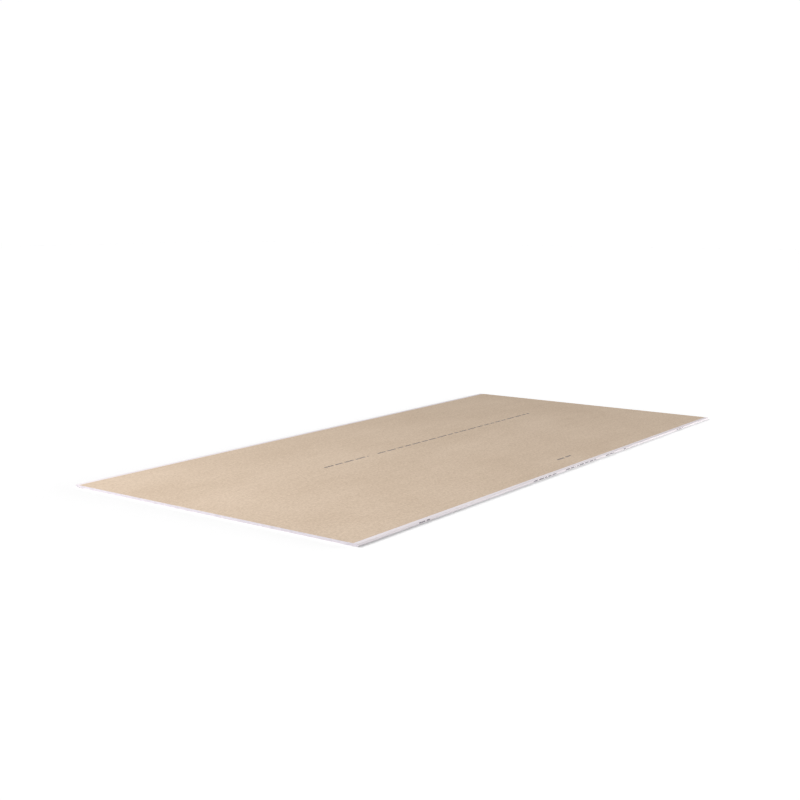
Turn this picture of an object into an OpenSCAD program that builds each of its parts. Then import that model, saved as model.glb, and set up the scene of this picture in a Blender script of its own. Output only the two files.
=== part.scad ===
// Tapered-edge drywall sheet: a gypsum core cast between two papers.
// It lies flat with its face down and its back up. X runs along the length, Y across the width.
// The origin is at the middle of the face.

/* [Sheet] */
// Length of the sheet, between the two cut ends
sheet_length = 2500; // [1200:10:3600]
// Width of the sheet, between the two paper-wrapped edges
sheet_width = 1200; // [600:10:1250]
// Full thickness of the sheet, both papers included
sheet_thickness = 9.5; // [9:0.5:25]

/* [Tapered edge] */
// Width of the taper along each long edge of the face
taper_width = 50; // [40:1:80]
// Depth of the taper at the edge
taper_depth = 1.5; // [0.6:0.1:2.5]
// Radius of the rounded edge on the face side
edge_radius = 3; // [1:0.25:3.5]
// Radius of the paper's fold on the back side
fold_radius = 0.8; // [0.6:0.1:1.5]

/* [Papers] */
// Thickness of the face paper, which wraps round the long edges
face_paper_thickness = 0.4; // [0.2:0.05:0.5]
// Thickness of the back paper
back_paper_thickness = 0.4; // [0.2:0.05:0.5]
// Width of face paper folded over onto the back along each edge
fold_width = 30; // [20:1:45]
// Width over which the back paper is glued down on the folded face paper
lap_width = 12; // [5:1:18]

/* [Hidden] */
// Straight pieces in each rounded stretch of the section
ARC_STEPS = 12;

half_width = sheet_width / 2;
// Height at which the back paper lies on the core and on the folded face paper
back_seat = sheet_thickness - back_paper_thickness;
back_paper_width = sheet_width - 2 * (fold_width - lap_width);
taper_angle = atan(taper_depth / taper_width);
// Centres of the two rounded stretches, tangent to the edge and to the taper or the back
edge_centre = [
    half_width - edge_radius,
    taper_depth + edge_radius * (1 - sin(taper_angle)) / cos(taper_angle)
];
fold_centre = [half_width - fold_radius, back_seat - fold_radius];

function arc(centre, radius, from, to) = [
    for (i = [0 : ARC_STEPS])
        let (angle = from + (to - from) * i / ARC_STEPS)
            centre + radius * [cos(angle), sin(angle)]
];

function mirrored(points) = [for (i = [len(points) - 1 : -1 : 0]) [-points[i][0], points[i][1]]];

function reversed(points) = [for (i = [len(points) - 1 : -1 : 0]) points[i]];

// One half of the face paper's section, a given depth in from its outer side:
// along the face, up the taper, round the edge and back over the fold.
function half_wrap(inset) = concat(
    [[half_width - taper_width - inset * tan(taper_angle / 2), inset]],
    arc(edge_centre, edge_radius - inset, taper_angle - 90, 0),
    arc(fold_centre, fold_radius - inset, 0, 90),
    [[half_width - fold_width, back_seat - inset]]
);

// The whole wrap, from the end of the left fold to the end of the right one
function wrap(inset) = concat(mirrored(half_wrap(inset)), half_wrap(inset));

// A section in Y and Z, drawn out along the sheet's length
module along_sheet() {
    rotate([90, 0, 90])
        linear_extrude(height = sheet_length, center = true)
            children();
}

// The cast core, with a shallow rebate along each edge of its back for the folded face paper
module gypsum_core() {
    rebate_end = [half_width - fold_width, back_seat];
    color("whitesmoke")
        along_sheet()
            polygon(concat(mirrored([rebate_end]), wrap(face_paper_thickness), [rebate_end]));
}

// The pale face paper, one web that wraps both long edges
module face_paper() {
    color("gainsboro")
        along_sheet()
            polygon(concat(wrap(0), reversed(wrap(face_paper_thickness))));
}

// The tan back paper, glued to the core and lapped onto both folds
module back_paper() {
    color("burlywood")
        along_sheet()
            translate([-back_paper_width / 2, back_seat])
                square([back_paper_width, back_paper_thickness]);
}

gypsum_core();
face_paper();
back_paper();
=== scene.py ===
"""Looks of a tapered-edge drywall sheet that lies face down on a pale floor.

Three pieces stand for the sheet's solids: the core with its sawn ends, the face paper that wraps the
long edges, and the back paper. Plain ink blocks are printed on the back and on one long edge.
Lengths are in metres. X runs along the sheet, Y across it and Z up through its thickness.
"""

import math

import bpy
import numpy as np
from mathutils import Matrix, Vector
from mathutils.geometry import delaunay_2d_cdt


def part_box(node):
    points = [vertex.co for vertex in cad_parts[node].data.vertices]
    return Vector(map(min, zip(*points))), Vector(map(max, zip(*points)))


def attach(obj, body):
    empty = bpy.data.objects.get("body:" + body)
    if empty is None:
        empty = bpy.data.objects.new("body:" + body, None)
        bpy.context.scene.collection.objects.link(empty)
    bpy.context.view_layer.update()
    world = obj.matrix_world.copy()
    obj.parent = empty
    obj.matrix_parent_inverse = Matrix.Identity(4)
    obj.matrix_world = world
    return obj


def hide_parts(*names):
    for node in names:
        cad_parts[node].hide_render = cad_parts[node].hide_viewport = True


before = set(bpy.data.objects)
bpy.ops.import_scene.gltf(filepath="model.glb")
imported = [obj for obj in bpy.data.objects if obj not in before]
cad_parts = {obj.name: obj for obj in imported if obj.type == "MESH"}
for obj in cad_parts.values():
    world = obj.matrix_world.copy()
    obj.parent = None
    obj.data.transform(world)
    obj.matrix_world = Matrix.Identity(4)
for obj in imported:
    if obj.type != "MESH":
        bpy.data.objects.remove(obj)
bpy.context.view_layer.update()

MM = 0.001

# Sizes read from the solids
core_low, core_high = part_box("gypsum_core")
face_low, face_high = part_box("face_paper")
back_low, back_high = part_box("back_paper")
HALF_LENGTH = face_high.x
HALF_WIDTH = face_high.y
BACK_HALF_WIDTH = back_high.y
BACK_SEAT = back_low.z
BACK_TOP = back_high.z
FACE_PAPER = core_low.z - face_low.z

# Sizes of the tapered edge, as the solids have them
TAPER_WIDTH = 50 * MM
TAPER_DEPTH = 1.5 * MM
EDGE_RADIUS = 3 * MM
FOLD_RADIUS = 0.8 * MM
FOLD_WIDTH = 30 * MM

# The taper's angle, the centres of the rounded edge and of the fold, and where the fold ends
TAPER_ANGLE = math.atan(TAPER_DEPTH / TAPER_WIDTH)
EDGE_CENTRE = (
    HALF_WIDTH - EDGE_RADIUS,
    TAPER_DEPTH + EDGE_RADIUS * (1 - math.sin(TAPER_ANGLE)) / math.cos(TAPER_ANGLE),
)
FOLD_CENTRE = (HALF_WIDTH - FOLD_RADIUS, BACK_SEAT - FOLD_RADIUS)
FOLD_END = HALF_WIDTH - FOLD_WIDTH


# Random shapes

# Knots each way before a cloud's values repeat
CLOUD_KNOTS = 256


def smooth(t):
    """A rise from 0 to 1 that starts and ends level."""
    return t * t * (3 - 2 * t)


def cloud(u, v, step_u, step_v, seed):
    """Smooth random values from -1 to 1 over a plane, with knots one step apart.

    A place gets the same value in every piece that uses the same seed.
    """
    knots = np.random.default_rng(seed).uniform(-1, 1, (CLOUD_KNOTS, CLOUD_KNOTS))
    low_u = np.floor(u / step_u).astype(int)
    low_v = np.floor(v / step_v).astype(int)
    part_u = smooth(u / step_u - low_u)
    part_v = smooth(v / step_v - low_v)
    left, right = low_u % CLOUD_KNOTS, (low_u + 1) % CLOUD_KNOTS
    below, above = low_v % CLOUD_KNOTS, (low_v + 1) % CLOUD_KNOTS
    lower = knots[left, below] * (1 - part_u) + knots[right, below] * part_u
    upper = knots[left, above] * (1 - part_u) + knots[right, above] * part_u
    return lower * (1 - part_v) + upper * part_v


def cloud_share(u, v, step_u, step_v, seed):
    """Smooth random values from 0 to 1 over a plane, with knots one step apart."""
    return 0.5 + 0.5 * cloud(u, v, step_u, step_v, seed)


# Handling

# How far in a corner is pressed, and how far from the corner that reaches
CRUSH_DEPTH = 0.7 * MM
CRUSH_REACH = 22 * MM
# How far in a long edge lies, at least and at most. The least leaves room for the ink in the solids' box.
EDGE_WANDER = (0.12 * MM, 0.27 * MM)
# How far from the edge that reaches, and its spacing along the edge
EDGE_REACH = 12 * MM
WANDER_STEP = 60 * MM
WANDER_SEED = 11


def handled(points):
    """Points moved in a little where handling has softened the corners and the edges of the sheet."""
    moved = points.copy()
    x, y = points[:, 0], points[:, 1]
    from_end = HALF_LENGTH - np.abs(x)
    from_edge = HALF_WIDTH - np.abs(y)
    corner = np.exp(-((from_end / CRUSH_REACH) ** 2) - (from_edge / CRUSH_REACH) ** 2)
    least, most = EDGE_WANDER
    wander = least + (most - least) * cloud_share(x, np.sign(y), WANDER_STEP, 1, WANDER_SEED)
    edge = wander * np.exp(-((from_edge / EDGE_REACH) ** 2))
    moved[:, 0] -= np.sign(x) * CRUSH_DEPTH * corner
    moved[:, 1] -= np.sign(y) * (CRUSH_DEPTH * corner + edge)
    return moved


# Meshes

# Creases sharper than this stay sharp
SHARP_ANGLE = math.radians(40)
# Straight pieces in the section's rounded edge, in its fold and in its margin on the back
EDGE_STEPS = 8
FOLD_STEPS = 6
MARGIN_STEPS = 5
# The map that colours are baked on, the strip of it that hidden sides share, and the room between areas
BAKE_MAP = "OFBake"
HIDDEN_LOW = 0.97
HIDDEN_HIGH = 0.995
HIDDEN_MIDDLE = (HIDDEN_LOW + HIDDEN_HIGH) / 2
MAP_MARGIN = 0.02


def piece(name, points, faces, material, node=None, places=None):
    """A mesh object on the sheet's only body, standing for a solid where one is named.

    Places, where given, are map coordinates for every corner of every face.
    """
    mesh = bpy.data.meshes.new(name)
    mesh.from_pydata(handled(np.asarray(points)).tolist(), [], faces)
    if places is not None:
        mesh.uv_layers.new(name=BAKE_MAP).uv.foreach_set("vector", np.ravel(places))
    mesh.shade_smooth()
    mesh.set_sharp_from_angle(angle=SHARP_ANGLE)
    mesh.materials.append(material)
    made = bpy.data.objects.new(name, mesh)
    bpy.context.scene.collection.objects.link(made)
    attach(made, "root")
    if node:
        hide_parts(node)


def quads(first, second, third, fourth):
    """Faces from four arrays of corner numbers."""
    return np.stack([np.ravel(a) for a in (first, second, third, fourth)], axis=1).tolist()


def grid_places(u, v):
    """Map coordinates for the corners of a grid of faces, from those of its lines each way."""
    low_u, low_v = np.meshgrid(u[:-1], v[:-1], indexing="ij")
    high_u, high_v = np.meshgrid(u[1:], v[1:], indexing="ij")
    corners = ((low_u, low_v), (low_u, high_v), (high_u, high_v), (high_u, low_v))
    return np.stack([np.stack([a.ravel(), b.ravel()], axis=1) for a, b in corners], axis=1)


def arc(centre, radius, start, end, steps):
    """Points on part of a circle, between two angles in degrees."""
    angles = np.radians(np.linspace(start, end, steps + 1))
    return [(centre[0] + radius * math.cos(a), centre[1] + radius * math.sin(a)) for a in angles]


def half_wrap(inset):
    """Half of the face paper's section, a depth in from its outer side: taper, edge, fold and margin."""
    start = HALF_WIDTH - TAPER_WIDTH - inset * math.tan(TAPER_ANGLE / 2)
    fold_top = BACK_SEAT - inset
    edge = arc(EDGE_CENTRE, EDGE_RADIUS - inset, math.degrees(TAPER_ANGLE) - 90, 0, EDGE_STEPS)
    fold = arc(FOLD_CENTRE, FOLD_RADIUS - inset, 0, 90, FOLD_STEPS)
    across = np.linspace(FOLD_CENTRE[0], FOLD_END, MARGIN_STEPS + 1)
    margin = [(y, fold_top) for y in across[1:]]
    return [(start, inset), *edge, *fold, *margin]


def wrap(inset):
    """The face paper's whole section, a depth in from its outer side, from margin to margin."""
    half = half_wrap(inset)
    return [(-y, z) for y, z in reversed(half)] + half


# Core

# Points over a sawn end: their spacing across, the rows up it, how far they stray as a share of these,
# and their least room to a line
END_PITCH = 0.9 * MM
END_ROWS = 10
POINT_STRAY = 0.3
CLEARANCE = 0.35 * END_PITCH
# The triangulation's output that keeps what lies inside its outer line, and how near points count as one
INSIDE_OUTLINE = 1
SAME_POINT = 1e-9

# Small air holes: how many are tried, and their least and greatest radius
SMALL_HOLES = 420
HOLE_SIZES = (0.25 * MM, 0.75 * MM)
# The core is denser next to its papers and its long edges, and has no small holes there
HOLE_HEIGHTS = (2.8 * MM, 7.6 * MM)
DENSE_EDGE = 12 * MM
HOLE_REACH = HALF_WIDTH - DENSE_EDGE
# Large air holes: places across each end, their height, radius and depth
LARGE_HOLES = [
    (-0.388, 6.9 * MM, 1.5 * MM, 4.5 * MM),
    (-0.234, 7.1 * MM, 1.4 * MM, 4.0 * MM),
    (-0.105, 3.9 * MM, 1.0 * MM, 1.5 * MM),
    (0.118, 5.4 * MM, 1.1 * MM, 2.0 * MM),
    (0.302, 3.2 * MM, 1.3 * MM, 3.5 * MM),
    (0.461, 6.0 * MM, 0.9 * MM, 1.2 * MM),
]
# A hole's sides: the fewest, and the radius that adds one more
FEWEST_SIDES = 8
RADIUS_PER_SIDE = 0.1 * MM
# How far a hole is out of round, at least and at most, as a share of its radius
HOLE_SQUEEZE = (0.05, 0.3)
# Shares of a hole's radius at which its wall has rings of points, from the rim inwards
HOLE_RINGS = (1.0, 0.9, 0.6)

# The saw cut: how far it lies behind the papers, and the depth and spacing of its grit, waves and chips
CUT_SETBACK = 0.05 * MM
GRIT_DEPTH = 0.10 * MM
GRIT_STEPS = (1.2 * MM, 1.2 * MM)
WAVE_DEPTH = 0.10 * MM
WAVE_STEPS = (35 * MM, 9 * MM)
CHIP_DEPTH = 1.2 * MM
CHIP_STEPS = (7 * MM, 4 * MM)
# Random values past this one are chips
CHIP_START = 0.72

# Rows that each end is cut into on the map
END_MAP_ROWS = 8
# Each end's side, the seed of its random shapes and its first row on the map
ENDS = ((-1, 21, 0), (1, 31, END_MAP_ROWS))


def divided(corners, pitch):
    """A closed outline with more points, so that none of its sides is much longer than the pitch."""
    points = []
    for start, end in zip(np.array(corners), np.roll(corners, -1, axis=0)):
        count = max(1, round(math.dist(start, end) / pitch))
        points += [tuple(start + (end - start) * i / count) for i in range(count)]
    return points


def core_outline():
    """The core's section, with a rebate along each edge of its back for the folded face paper."""
    return divided(wrap(FACE_PAPER) + [(FOLD_END, BACK_SEAT), (-FOLD_END, BACK_SEAT)], END_PITCH)


def air_holes(rng):
    """Places, heights, radii and depths of the air holes in one sawn end. None touches another."""
    holes = list(LARGE_HOLES)
    least, most = HOLE_SIZES
    for _ in range(SMALL_HOLES):
        radius = least + (most - least) * rng.uniform() ** 2
        across = rng.uniform(-HOLE_REACH, HOLE_REACH)
        height = rng.uniform(*HOLE_HEIGHTS)
        gaps = [math.hypot(across - y, height - z) - radius - r for y, z, r, _ in holes]
        if min(gaps) > CLEARANCE:
            holes.append((across, height, radius, radius))
    return holes


def hole_wall(across, height, radius, depth, rng):
    """Points over one air hole's wall, ring by ring from its rim, with their depths and the rim's count."""
    sides = FEWEST_SIDES + round(radius / RADIUS_PER_SIDE)
    turn = rng.uniform(0, math.pi)
    squeeze = rng.uniform(*HOLE_SQUEEZE)
    angles = np.arange(sides) * 2 * math.pi / sides
    reach = radius * (1 - squeeze * np.sin(angles - turn) ** 2)
    rings = np.repeat(HOLE_RINGS, sides)
    y = across + rings * np.tile(reach * np.cos(angles), len(HOLE_RINGS))
    z = height + rings * np.tile(reach * np.sin(angles), len(HOLE_RINGS))
    depths = depth * np.sqrt(1 - rings**2)
    places = [*zip(y.tolist(), z.tolist()), (across, height)]
    return places, [*depths.tolist(), depth], sides


def scattered(holes, rng):
    """Points spread evenly over one end, clear of its outline and of its air holes."""
    half = half_wrap(FACE_PAPER)
    lower = np.array(half[: EDGE_STEPS + 2])
    upper = np.array([(FOLD_END, BACK_SEAT), *half[: EDGE_STEPS + 1 : -1]])
    inside = core_high.y - END_PITCH
    rows = np.linspace(0, 1, END_ROWS + 1)[1:-1]
    y, share = np.meshgrid(np.arange(-inside, inside, END_PITCH), rows)
    y = (y + POINT_STRAY * END_PITCH * rng.uniform(-1, 1, y.shape)).ravel()
    share = share.ravel() + rng.uniform(-POINT_STRAY, POINT_STRAY, y.shape) / END_ROWS
    low = np.interp(np.abs(y), *lower.T)
    high = np.interp(np.abs(y), *upper.T)
    z = low + (high - low) * share
    clear = np.ones(len(y), bool)
    for across, height, radius, _ in holes:
        clear &= np.hypot(y - across, z - height) > radius + CLEARANCE
    return list(zip(y[clear].tolist(), z[clear].tolist()))


def ring_links(first, count):
    """Pairs of neighbouring points round a closed ring."""
    return [(first + i, first + (i + 1) % count) for i in range(count)]


def cut_depth(y, z, seed):
    """How far a rough saw cut with small chips lies behind the papers."""
    grit = cloud_share(y, z, *GRIT_STEPS, seed)
    waves = cloud_share(y, z, *WAVE_STEPS, seed + 1)
    chips = np.clip(cloud(y, z, *CHIP_STEPS, seed + 2) - CHIP_START, 0, 1)
    return CUT_SETBACK + GRIT_DEPTH * grit + WAVE_DEPTH * waves + CHIP_DEPTH * chips


def sawn_end(outline, seed):
    """One end's points in Y and Z, their depths behind the papers and triangles, with the outline first."""
    rng = np.random.default_rng(seed)
    holes = air_holes(rng)
    places = list(outline)
    hollow = [0.0] * len(outline)
    links = ring_links(0, len(outline))
    for hole in holes:
        wall, depths, sides = hole_wall(*hole, rng)
        links += ring_links(len(places), sides)
        places += wall
        hollow += depths
    spread = scattered(holes, rng)
    places += spread
    hollow += [0.0] * len(spread)
    corners = [Vector(p) for p in places]
    _, _, triangles, sources, _, _ = delaunay_2d_cdt(corners, links, [], INSIDE_OUTLINE, SAME_POINT)
    number = [source[0] for source in sources]
    y, z = np.array(places).T
    depth = np.array(hollow) + cut_depth(y, z, seed)
    return y, z, depth, np.array([[number[i] for i in triangle] for triangle in triangles])


def end_places(y, z, triangles, first_row):
    """Map coordinates for one end's triangles. The end is cut into rows, to give it enough of the map."""
    stretch = 2 * HALF_WIDTH / END_MAP_ROWS
    row = np.floor((y[triangles].mean(axis=1, keepdims=True) + HALF_WIDTH) / stretch)
    along = (y[triangles] + HALF_WIDTH) / stretch - row
    up = (1 - 2 * MAP_MARGIN) * z[triangles] / BACK_SEAT
    u = MAP_MARGIN + (HIDDEN_LOW - 2 * MAP_MARGIN) * along
    v = (first_row + row + MAP_MARGIN + up) / (2 * END_MAP_ROWS)
    return np.stack([u, v], axis=2).reshape(-1, 2)


def make_core(material):
    """The core: two sawn ends, joined by sides that the papers hide."""
    outline = core_outline()
    points, faces, places, rims = [], [], [], []
    for side, seed, first_row in ENDS:
        y, z, depth, triangles = sawn_end(outline, seed)
        triangles = triangles[:, ::side]
        first = sum(len(p) for p in points)
        points.append(np.stack([side * (HALF_LENGTH - depth), y, z], axis=1))
        faces += (first + triangles).tolist()
        places.append(end_places(y, z, triangles, first_row))
        rims.append(first + np.arange(len(outline)))
    near, far = rims
    faces += quads(near, np.roll(near, -1), np.roll(far, -1), far)
    hidden = grid_places(np.array([HIDDEN_LOW, HIDDEN_HIGH]), np.linspace(0, 1, len(outline) + 1))
    places.append(hidden.reshape(-1, 2))
    points, places = np.concatenate(points), np.concatenate(places)
    piece("core_with_sawn_ends", points, faces, material, "gypsum_core", places)


# Papers

# Places along the sheet at which the papers have points
STATIONS = 320
STATION_PLACES = np.linspace(-HALF_LENGTH, HALF_LENGTH, STATIONS)

# How far the saw draws the papers' ends back at most, and the spacing of that
FRAY_DEPTH = 0.15 * MM
FRAY_STEP = 4 * MM
FACE_FRAY_SEED = 41
BACK_FRAY_SEED = 42
# Points this near an end are on it
END_REACH = 1e-6

# How far the back's surface lies under the solids' top, as room for the ink, and its slight swell
INK_ROOM = 0.12 * MM
SWELL_DEPTH = 0.03 * MM
SWELL_STEPS = (140 * MM, 70 * MM)
SWELL_SEED = 51
# The fine line where the folded paper ends under the back paper
LINE_DEPTH = 0.06 * MM
LINE_WIDTH = 1.5 * MM
# The back paper's long edges, pressed down onto the folds
PRESS_DEPTH = 0.14 * MM
PRESS_WIDTH = 1.5 * MM

# Spacing of the back's points across, wide in the middle and fine from a little inside the fold's end
WIDE_PITCH = 8 * MM
FINE_PITCH = 0.75 * MM
FINE_REACH = 6 * MM


def frayed(x, y, seed):
    """Places along the sheet with the two ends drawn back a little, as a saw leaves the paper."""
    ends = np.abs(x) > HALF_LENGTH - END_REACH
    fray = FRAY_DEPTH * cloud_share(x, y, HALF_LENGTH, FRAY_STEP, seed)
    return np.where(ends, x - np.sign(x) * fray, x)


def wrap_places(loop):
    """Map coordinates round the face paper's section, with extra room for the short sides of its edges."""
    sides = np.linalg.norm(np.roll(loop, -1, axis=0) - loop, axis=1)
    return np.concatenate([[0], np.cumsum(np.sqrt(sides)) / np.sqrt(sides).sum()])


def make_face_paper(material):
    """The face paper: a sheet folded round the core's face and long edges, with frayed ends."""
    outer = wrap(0)
    inner = wrap(FACE_PAPER)
    loop = np.array(outer + inner[::-1])
    count = len(outer)
    along = np.repeat(STATION_PLACES[:, None], len(loop), axis=1)
    y = np.repeat(loop[None, :, 0], STATIONS, axis=0)
    z = np.repeat(loop[None, :, 1], STATIONS, axis=0)
    points = np.stack([frayed(along, y, FACE_FRAY_SEED).ravel(), y.ravel(), z.ravel()], axis=1)
    number = np.arange(len(points)).reshape(along.shape)
    ahead = np.roll(number, -1, axis=1)
    faces = quads(number[:-1], ahead[:-1], ahead[1:], number[1:])
    round_loop = wrap_places(loop)
    places = [grid_places(np.linspace(0, HIDDEN_LOW - MAP_MARGIN, STATIONS), round_loop)]
    caps = (
        (number[0], (HIDDEN_LOW, HIDDEN_MIDDLE), -1),
        (number[-1], (HIDDEN_MIDDLE, HIDDEN_HIGH), 1),
    )
    for ring, strip, turn in caps:
        outside = ring[:count]
        inside = ring[count:][::-1]
        cap = [outside[:-1], outside[1:], inside[1:], inside[:-1]]
        faces += quads(*cap[::turn])
        places.append(grid_places(np.array(strip), round_loop[:count])[:, ::turn])
    places = np.concatenate(places)
    piece("face_paper_wrap", points, faces, material, "face_paper", places)


def back_relief(x, y):
    """Height of the back's surface: nearly flat, with the folded paper's end as a fine line."""
    out = np.abs(y)
    swell = cloud(x, y, *SWELL_STEPS, SWELL_SEED)
    line = np.exp(-(((out - FOLD_END) / LINE_WIDTH) ** 2))
    pressed = smooth(np.clip((out - BACK_HALF_WIDTH + PRESS_WIDTH) / PRESS_WIDTH, 0, 1))
    return BACK_TOP - INK_ROOM - SWELL_DEPTH * (1 - swell) - LINE_DEPTH * line - PRESS_DEPTH * pressed


def back_columns():
    """Places across the back paper, closer together from where the folded paper ends under it."""
    fine = np.arange(BACK_HALF_WIDTH, FOLD_END - FINE_REACH, -FINE_PITCH)
    half = np.unique(np.concatenate([np.arange(0, fine[-1], WIDE_PITCH), fine]))
    return np.concatenate([-half[:0:-1], half])


def make_back_paper(material):
    """The back paper: a thin sheet with a fine relief on top and frayed ends."""
    columns = back_columns()
    along, y = np.meshgrid(STATION_PLACES, columns, indexing="ij")
    x = frayed(along, y, BACK_FRAY_SEED)
    top = np.stack([x.ravel(), y.ravel(), back_relief(along, y).ravel()], axis=1)
    number = np.arange(len(top)).reshape(along.shape)
    rim = np.concatenate([number[:-1, 0], number[-1, :-1], number[:0:-1, -1], number[0, :0:-1]])
    bottom = top[rim].copy()
    bottom[:, 2] = BACK_SEAT
    under = np.arange(len(top), len(top) + len(rim))
    faces = quads(number[1:, :-1], number[1:, 1:], number[:-1, 1:], number[:-1, :-1])
    faces += quads(rim, under, np.roll(under, -1), np.roll(rim, -1))
    faces.append(under[::-1].tolist())
    share_x = 0.5 + 0.5 * STATION_PLACES / HALF_LENGTH
    share_y = 0.5 + 0.5 * columns / BACK_HALF_WIDTH
    upper = grid_places(share_x, share_y * (HIDDEN_LOW - MAP_MARGIN))[:, ::-1]
    sides = grid_places(np.linspace(0, 1, len(rim) + 1), np.array([HIDDEN_LOW, HIDDEN_MIDDLE]))
    below = 0.5 + 0.5 * bottom[::-1, :2] / (HALF_LENGTH, BACK_HALF_WIDTH)
    below[:, 1] = HIDDEN_MIDDLE + (HIDDEN_HIGH - HIDDEN_MIDDLE) * below[:, 1]
    places = np.concatenate([upper.reshape(-1, 2), sides.reshape(-1, 2), below])
    points = np.concatenate([top, bottom])
    piece("back_paper_sheet", points, faces, material, "back_paper", places)


# Ink

# Height of the ink above the paper, and how far it soaks in
INK_HEIGHT = 0.1 * MM
INK_SOAK = 0.02 * MM
# A block's corner radius as a share of its shorter side, and the straight pieces in a corner
INK_CORNER = 0.25
INK_CORNER_STEPS = 3
# Blocks in a word: the fewest, and one more than the most
WORD_BLOCKS = (3, 8)
# A print's narrowest and widest block, its gap after a block and its further gap after a word
BACK_PRINT = ((4 * MM, 8 * MM), 3 * MM, 12 * MM)
BACK_PRINT_HEIGHT = 9 * MM
BACK_PRINT_SEED = 61
EDGE_PRINT = ((2 * MM, 4.5 * MM), 1.2 * MM, 8 * MM)
EDGE_PRINT_HEIGHT = 3.5 * MM
EDGE_PRINT_SEED = 71
# Printed rows on the back: their names, their runs from the near cut end, and their places across
BACK_ROWS = [
    ("ink_on_back", [(0.69, 0.95), (1.00, 2.13)], 0.10),
    ("ink_short_mark", [(1.30, 1.40)], -0.50),
]
# Printed runs on the long edge, from the near cut end, and the height of their middle
EDGE_RUNS = [
    (0.286, 0.346), (0.952, 1.11), (1.18, 1.25), (1.26, 1.41),
    (1.49, 1.56), (1.645, 1.66), (2.152, 2.215),
]
EDGE_ROW = (EDGE_CENTRE[1] + FOLD_CENTRE[1]) / 2


def ink_run(start, end, widths, gap, word_gap, seed):
    """Start and end of each block in a run of plain printed blocks, grouped like words."""
    rng = np.random.default_rng(seed)
    blocks = []
    place = start
    while place < end:
        for _ in range(rng.integers(*WORD_BLOCKS)):
            width = rng.uniform(*widths)
            if place + width > end:
                return blocks
            blocks.append((place, place + width))
            place += width + gap
        place += word_gap
    return blocks


def ink_row(runs, style, seed):
    """Start and end of each block in all the runs of a row."""
    blocks = []
    for i, (start, end) in enumerate(runs):
        blocks += ink_run(start - HALF_LENGTH, end - HALF_LENGTH, *style, seed + i)
    return blocks


def on_back(u, v, lift):
    """A place above the back, from places along and across the sheet."""
    height = back_relief(np.array([u]), np.array([v]))[0]
    return (u, v, height + lift)


def on_edge(u, v, lift):
    """A place out from the near long edge, from a place along the sheet and a height."""
    return (u, -HALF_WIDTH - lift, v)


def ink_prisms(name, blocks, row, height, surface, material):
    """One mesh of thin rounded blocks. surface(u, v, lift) gives a place on the sheet, a lift above it."""
    points, faces = [], []
    low, high = row - height / 2, row + height / 2
    for start, end in blocks:
        corner = min(end - start, high - low) * INK_CORNER
        outline = []
        for centre_u, centre_v, turn in (
            (end - corner, low + corner, -90),
            (end - corner, high - corner, 0),
            (start + corner, high - corner, 90),
            (start + corner, low + corner, 180),
        ):
            outline += arc((centre_u, centre_v), corner, turn, turn + 90, INK_CORNER_STEPS)
        first = len(points)
        count = len(outline)
        points += [surface(u, v, INK_HEIGHT) for u, v in outline]
        points += [surface(u, v, -INK_SOAK) for u, v in outline]
        upper = list(range(first, first + count))
        lower = list(range(first + count, first + 2 * count))
        faces.append(upper)
        faces.append(lower[::-1])
        faces += quads(upper, lower, np.roll(lower, -1), np.roll(upper, -1))
    piece(name, points, faces, material)


def make_ink(material):
    """The printed rows on the back and on the near long edge."""
    for name, runs, row in BACK_ROWS:
        blocks = ink_row(runs, BACK_PRINT, BACK_PRINT_SEED)
        ink_prisms(name, blocks, row, BACK_PRINT_HEIGHT, on_back, material)
    blocks = ink_row(EDGE_RUNS, EDGE_PRINT, EDGE_PRINT_SEED)
    ink_prisms("ink_on_edge", blocks, EDGE_ROW, EDGE_PRINT_HEIGHT, on_edge, material)


# Shader nodes

# A fibre's width as a share of its cell's, and how many times as long as wide it is
FIBRE_WIDTH = 0.25
FIBRE_LENGTH = 9
# The smallest speck as a share of the largest, and the solid middle of each as a share of its size
SMALLEST_SPECK = 0.35
SOLID_SPECK = 0.5
# How far a speck's outline wanders, as a share of its cell, and how many times finer than the cells
SPECK_RIPPLE = 0.5
RIPPLE_FINENESS = 3
# The range that a noise value mostly keeps to
NOISE_LOW = 0.3
NOISE_HIGH = 0.7


def srgb(red, green, blue):
    """A colour as the shader takes it, from its red, green and blue out of 255."""
    parts = [c / 255 for c in (red, green, blue)]
    linear = [c / 12.92 if c <= 0.04045 else ((c + 0.055) / 1.055) ** 2.4 for c in parts]
    return (*linear, 1.0)


def add_node(tree, kind, inputs=None, **settings):
    """A new shader node, with its inputs set to values or linked to other nodes' outputs."""
    made = tree.nodes.new(kind)
    for name, value in settings.items():
        setattr(made, name, value)
    for name, value in (inputs or {}).items():
        if isinstance(value, bpy.types.NodeSocket):
            tree.links.new(value, made.inputs[name])
        else:
            made.inputs[name].default_value = value
    return made


def maths(tree, operation, first, second):
    """The result of an operation on two numbers."""
    return add_node(tree, "ShaderNodeMath", {0: first, 1: second}, operation=operation).outputs[0]


def vector_maths(tree, operation, first, second):
    """The result of an operation on two vectors."""
    return add_node(tree, "ShaderNodeVectorMath", {0: first, 1: second}, operation=operation).outputs[0]


def dot(tree, first, second):
    """The dot product of two vectors, which is the node's other output."""
    inputs = {0: first, 1: second}
    return add_node(tree, "ShaderNodeVectorMath", inputs, operation="DOT_PRODUCT").outputs["Value"]


def weighted(tree, parts):
    """The sum of values times their weights."""
    total = None
    for value, weight in parts:
        part = maths(tree, "MULTIPLY", value, weight)
        total = part if total is None else maths(tree, "ADD", total, part)
    return total


def between(tree, value, low, high, to_low=0.0, to_high=1.0):
    """A value mapped smoothly from one range to another."""
    inputs = {"Value": value, "From Min": low, "From Max": high, "To Min": to_low, "To Max": to_high}
    return add_node(tree, "ShaderNodeMapRange", inputs, interpolation_type="SMOOTHSTEP").outputs[0]


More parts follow.
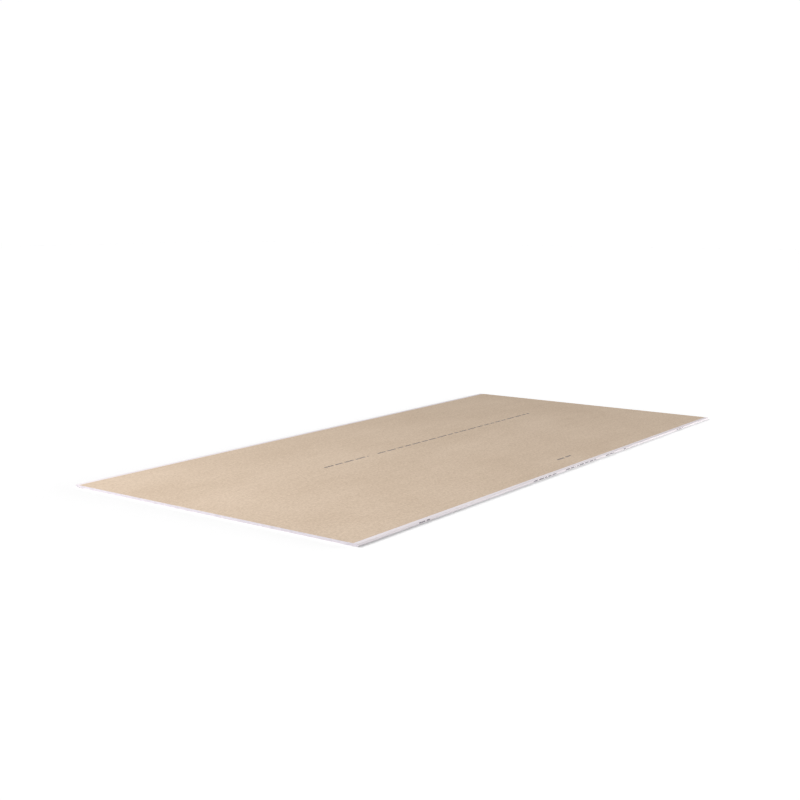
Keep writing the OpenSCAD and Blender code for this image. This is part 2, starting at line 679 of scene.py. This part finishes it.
def mix(tree, share, first, second):
    """A colour between two others. The node takes them as inputs 6 and 7 and gives it as output 2."""
    return add_node(tree, "ShaderNodeMix", {0: share, 6: first, 7: second}, data_type="RGBA").outputs[2]


def tinted(tree, colour, mask, strength, tint):
    """A colour with a tint laid over it at a strength, where a mask is."""
    return mix(tree, maths(tree, "MULTIPLY", mask, strength), colour, tint)


def noise(tree, place, scale, stretch=(1, 1, 1), detail=3, roughness=0.5):
    """A noise value around one half, with its grain drawn out by the stretch."""
    stretched = vector_maths(tree, "MULTIPLY", place, stretch)
    inputs = {"Vector": stretched, "Scale": scale, "Detail": detail, "Roughness": roughness}
    return add_node(tree, "ShaderNodeTexNoise", inputs).outputs["Fac"]


def drawn_out(tree, place, length, turn):
    """A place for a pattern that is drawn out in one direction, at an angle to the sheet's length."""
    inputs = {"Vector": place, "Rotation": (0, 0, math.radians(turn)), "Scale": (length, 1, 1)}
    return add_node(tree, "ShaderNodeMapping", inputs, vector_type="TEXTURE").outputs[0]


def rippled(tree, place, scale):
    """A place moved to and fro a little, so that a pattern of this scale gets uneven outlines."""
    ripple = {"Vector": place, "Scale": RIPPLE_FINENESS * scale, "Detail": 1.0}
    uneven = add_node(tree, "ShaderNodeTexNoise", ripple).outputs["Color"]
    centred = vector_maths(tree, "SUBTRACT", uneven, (0.5, 0.5, 0.5))
    offset = {0: centred, "Scale": SPECK_RIPPLE / scale}
    shift = add_node(tree, "ShaderNodeVectorMath", offset, operation="SCALE").outputs[0]
    return vector_maths(tree, "ADD", place, shift)


def specks(tree, place, scale, share, size):
    """A mask of small separate specks of many sizes, in a share of the cells of a pattern."""
    cells = add_node(tree, "ShaderNodeTexVoronoi", {"Vector": place, "Scale": scale})
    lot = add_node(tree, "ShaderNodeSeparateColor", {0: cells.outputs["Color"]}).outputs
    chosen = maths(tree, "LESS_THAN", lot["Red"], share)
    reach = between(tree, lot["Green"], 0, 1, SMALLEST_SPECK * size, size)
    middle = maths(tree, "MULTIPLY", reach, SOLID_SPECK)
    spot = between(tree, cells.outputs["Distance"], reach, middle)
    return maths(tree, "MULTIPLY", chosen, spot)


def ragged_specks(tree, place, scale, share, size):
    """A mask of specks with uneven outlines."""
    return specks(tree, rippled(tree, place, scale), scale, share, size)


def fibres(tree, place, scale, share, turns):
    """A mask of short thin fibres that lie in several directions."""
    total = 0.0
    for turn in turns:
        mask = specks(tree, drawn_out(tree, place, FIBRE_LENGTH, turn), scale, share, FIBRE_WIDTH)
        total = maths(tree, "MAXIMUM", mask, total)
    return total


def new_material(name, roughness, specular):
    """A material, its node tree, its main shader and the place on the sheet."""
    material = bpy.data.materials.new(name)
    material.use_nodes = True
    tree = material.node_tree
    shader = tree.nodes["Principled BSDF"]
    shader.inputs["Roughness"].default_value = roughness
    shader.inputs["Specular IOR Level"].default_value = specular
    place = add_node(tree, "ShaderNodeTexCoord").outputs["Object"]
    return material, tree, shader, place


def uneven_roughness(tree, shader, value, least, most):
    """Gives a shader a roughness that follows a noise value."""
    roughness = between(tree, value, NOISE_LOW, NOISE_HIGH, least, most)
    tree.links.new(roughness, shader.inputs["Roughness"])


def bump(tree, shader, height, strength, distance):
    """Gives a shader a fine relief."""
    inputs = {"Height": height, "Strength": strength, "Distance": distance}
    tree.links.new(add_node(tree, "ShaderNodeBump", inputs).outputs[0], shader.inputs["Normal"])


# Materials

# The darkest and lightest tone of each, and the colours of what lies in it
TAN_PAPER = (srgb(202, 180, 157), srgb(230, 210, 189))
DARK_FIBRE = srgb(168, 143, 117)
LIGHT_FIBRE = srgb(240, 226, 208)
BROWN_SPECK = srgb(140, 112, 86)
PALE_PAPER = (srgb(231, 224, 228), srgb(242, 236, 239))
GYPSUM = (srgb(221, 214, 221), srgb(239, 233, 239))
# Painted shade: a grey that stands for the shade inside the gypsum's tiny pores
PAINTED_PORE_SHADE = srgb(172, 164, 172)
INK = (srgb(48, 49, 62), srgb(98, 95, 104))


def back_paper_material():
    """Tan recycled paper: faintly cloudy and mottled, with short fibres and specks of other paper."""
    material, tree, shader, place = new_material("tan_back_paper", roughness=0.9, specular=0.03)
    clouds = noise(tree, place, scale=2.2, stretch=(1, 1.6, 1))
    mottle = noise(tree, place, scale=130, stretch=(0.8, 1, 1), detail=6, roughness=0.68)
    streaks = noise(tree, place, scale=40, stretch=(0.1, 1, 1), roughness=0.6)
    grain = noise(tree, place, scale=1100, stretch=(0.7, 1, 1), roughness=0.65)
    tone = weighted(tree, [(clouds, 0.14), (mottle, 0.44), (streaks, 0.06), (grain, 0.36)])
    colour = mix(tree, between(tree, tone, low=0.36, high=0.64), *TAN_PAPER)
    dark = fibres(tree, place, scale=1400, share=0.2, turns=(10, 75, 140))
    colour = tinted(tree, colour, dark, 0.4, DARK_FIBRE)
    light = fibres(tree, place, scale=1200, share=0.16, turns=(40, 110))
    colour = tinted(tree, colour, light, 0.45, LIGHT_FIBRE)
    brown = ragged_specks(tree, place, scale=260, share=0.12, size=0.2)
    colour = tinted(tree, colour, brown, 0.55, BROWN_SPECK)
    tree.links.new(colour, shader.inputs["Base Color"])
    uneven_roughness(tree, shader, mottle, least=0.84, most=0.95)
    relief = weighted(tree, [(grain, 0.75), (mottle, 0.25)])
    bump(tree, shader, relief, strength=0.25, distance=0.15 * MM)
    return material


def face_paper_material():
    """Smooth pale paper with faint lines along the sheet."""
    material, tree, shader, place = new_material("pale_face_paper", roughness=0.8, specular=0.25)
    clouds = noise(tree, place, scale=7, stretch=(0.5, 1, 1))
    streaks = noise(tree, place, scale=900, stretch=(0.01, 1, 1))
    grain = noise(tree, place, scale=1100, stretch=(0.6, 1, 1), detail=2)
    tone = weighted(tree, [(clouds, 0.5), (streaks, 0.25), (grain, 0.25)])
    colour = mix(tree, between(tree, tone, low=0.35, high=0.65), *PALE_PAPER)
    tree.links.new(colour, shader.inputs["Base Color"])
    uneven_roughness(tree, shader, clouds, least=0.72, most=0.88)
    bump(tree, shader, grain, strength=0.15, distance=0.08 * MM)
    return material


def gypsum_material():
    """Matt white plaster with a fine grain, and grey specks painted on as the shade in tiny pores."""
    material, tree, shader, place = new_material("white_gypsum", roughness=0.95, specular=0.15)
    clouds = noise(tree, place, scale=40)
    grain = noise(tree, place, scale=1600, roughness=0.7)
    tone = weighted(tree, [(clouds, 0.5), (grain, 0.5)])
    colour = mix(tree, between(tree, tone, NOISE_LOW, NOISE_HIGH), *GYPSUM)
    # Painted shade: grey specks stand for the shade inside tiny pores
    painted_pore_shade = ragged_specks(tree, place, scale=1500, share=0.3, size=0.32)
    colour = tinted(tree, colour, painted_pore_shade, 0.45, PAINTED_PORE_SHADE)
    tree.links.new(colour, shader.inputs["Base Color"])
    uneven_roughness(tree, shader, grain, least=0.88, most=1.0)
    bump(tree, shader, grain, strength=0.4, distance=0.15 * MM)
    return material


def ink_material():
    """Dark blue-grey ink that covers unevenly."""
    material, tree, shader, place = new_material("blue_grey_ink", roughness=0.6, specular=0.3)
    cover = noise(tree, place, scale=900, roughness=0.7)
    colour = mix(tree, between(tree, cover, low=0.4, high=0.75), *INK)
    tree.links.new(colour, shader.inputs["Base Color"])
    return material


make_core(gypsum_material())
make_face_paper(face_paper_material())
make_back_paper(back_paper_material())
make_ink(ink_material())


# Floor, light and camera

WHITE = (1, 1, 1, 1)
FLOOR_SIZE = 60
FLOOR_COLOUR = srgb(240, 240, 240)
# Gap under the sheet, so that the floor and the face don't share one plane
FLOOR_GAP = 0.05 * MM
# Level of the open floor and of what lies behind it, just past white
OPEN_WHITE = 1.01
WORLD_LIGHT = 0.24
# Even lights: name, direction that they come from, strength and spread
EVEN_LIGHTS = [
    ("even_key", Vector((-0.4, 3.8, 2.8)), 1.265, math.radians(20)),
    ("even_near", Vector((-3.0, -0.3, 0.18)), 0.25, math.radians(6)),
    ("even_far", Vector((3.0, -0.3, 0.18)), 0.85, math.radians(6)),
]
# Round panels of soft light: name, place, aim, diameter and power
PANELS = [
    ("left_panel", Vector((-3.2, 1.4, 2.8)), Vector((-0.4, 0.2, 0.0)), 2.0, 96),
    ("right_panel", Vector((2.2, -4.0, 0.45)), Vector((0.2, -0.6, 0.0)), 0.8, 106),
]


def seen_directly(tree):
    """One for rays from the camera or a mirror-like surface, and nought for rays that carry light."""
    path = add_node(tree, "ShaderNodeLightPath").outputs
    seen = maths(tree, "MAXIMUM", path["Is Camera Ray"], path["Is Glossy Ray"])
    return maths(tree, "MAXIMUM", seen, path["Is Transmission Ray"])


def panel_level(tree, place, lamp, aim, size, power):
    """How brightly a panel lights a white floor at a place."""
    away = vector_maths(tree, "SUBTRACT", place, lamp)
    squared = dot(tree, away, away)
    ahead = maths(tree, "MAXIMUM", dot(tree, away, (aim - lamp).normalized()), 0.0)
    widened = maths(tree, "ADD", squared, (size / 2) ** 2)
    falling = maths(tree, "DIVIDE", ahead, maths(tree, "MULTIPLY", squared, widened))
    return maths(tree, "MULTIPLY", falling, power * lamp.z / math.pi**2)


def make_floor():
    """A pale floor that glows where the light falls short, so that open floor is white and shadows show."""
    material, tree, shader, place = new_material("pale_floor", roughness=1.0, specular=0.0)
    shader.inputs["Base Color"].default_value = FLOOR_COLOUR
    shader.inputs["Emission Color"].default_value = WHITE
    light = WORLD_LIGHT
    for _, source, strength, _ in EVEN_LIGHTS:
        light += strength * source.normalized().z / math.pi
    for _, lamp, aim, size, power in PANELS:
        light = maths(tree, "ADD", panel_level(tree, place, lamp, aim, size, power), light)
    missing = maths(tree, "SUBTRACT", OPEN_WHITE, maths(tree, "MULTIPLY", light, FLOOR_COLOUR[0]))
    glow = maths(tree, "MULTIPLY", seen_directly(tree), maths(tree, "MAXIMUM", missing, 0.0))
    tree.links.new(glow, shader.inputs["Emission Strength"])
    half = FLOOR_SIZE / 2
    level = face_low.z - FLOOR_GAP
    corners = [(-half, -half, level), (half, -half, level), (half, half, level), (-half, half, level)]
    mesh = bpy.data.meshes.new("floor")
    mesh.from_pydata(corners, [], [(0, 1, 2, 3)])
    mesh.materials.append(material)
    floor = bpy.data.objects.new("floor", mesh)
    bpy.context.scene.collection.objects.link(floor)


def make_world():
    """Even light from all round, which looks as white as the open floor."""
    world = bpy.data.worlds.new("studio")
    world.use_nodes = True
    bpy.context.scene.world = world
    tree = world.node_tree
    background = tree.nodes["Background"]
    background.inputs["Color"].default_value = WHITE
    strength = between(tree, seen_directly(tree), 0, 1, WORLD_LIGHT, OPEN_WHITE)
    tree.links.new(strength, background.inputs["Strength"])


def facing(direction):
    """The turn that points a lamp or a camera in a direction, with its top up."""
    return direction.to_track_quat("-Z", "Y").to_euler()


def make_lamp(name, data, place, aim):
    """A lamp at a place, pointed at its aim, that the camera doesn't see."""
    lamp = bpy.data.objects.new(name, data)
    lamp.location = place
    lamp.rotation_euler = facing(aim - place)
    lamp.visible_camera = False
    bpy.context.scene.collection.objects.link(lamp)


def make_panel(name, place, aim, size, power):
    """A round panel of soft light."""
    data = bpy.data.lights.new(name, "AREA")
    data.shape = "DISK"
    data.size = size
    data.energy = power
    make_lamp(name, data, place, aim)


def make_even_light(name, source, strength, spread):
    """Soft light of one strength everywhere, from one direction."""
    data = bpy.data.lights.new(name, "SUN")
    data.energy = strength
    data.angle = spread
    make_lamp(name, data, source, Vector((0, 0, 0)))


# The camera's place from the sheet's near corner, and its bearing, found from corners in the photograph
NEAR_CORNER = Vector((-HALF_LENGTH, -HALF_WIDTH, 0))
CAMERA_FROM_CORNER = Vector((-2.365, -1.885, 0.882))
CAMERA_BEARING = math.radians(36.41)
CAMERA_TILT = math.radians(-8.96)
# The focal length in the photograph's pixels, its width, and the camera's sensor in millimetres
FOCAL_PIXELS = 1150.1
IMAGE_PIXELS = 800
SENSOR_WIDTH = 36
# Beyond the far corners of the floor
SIGHT = 200


def make_camera():
    """The photograph's own camera, as fitted."""
    data = bpy.data.cameras.new("camera")
    data.sensor_width = SENSOR_WIDTH
    data.lens = FOCAL_PIXELS / IMAGE_PIXELS * SENSOR_WIDTH
    data.clip_end = SIGHT
    camera = bpy.data.objects.new("camera", data)
    camera.location = NEAR_CORNER + CAMERA_FROM_CORNER
    level = math.cos(CAMERA_TILT)
    along = level * math.cos(CAMERA_BEARING)
    across = level * math.sin(CAMERA_BEARING)
    camera.rotation_euler = facing(Vector((along, across, math.sin(CAMERA_TILT))))
    bpy.context.scene.collection.objects.link(camera)
    bpy.context.scene.camera = camera


make_floor()
make_world()
for even_light in EVEN_LIGHTS:
    make_even_light(*even_light)
for panel in PANELS:
    make_panel(*panel)
make_camera()
bpy.context.scene.view_settings.view_transform = "Standard"
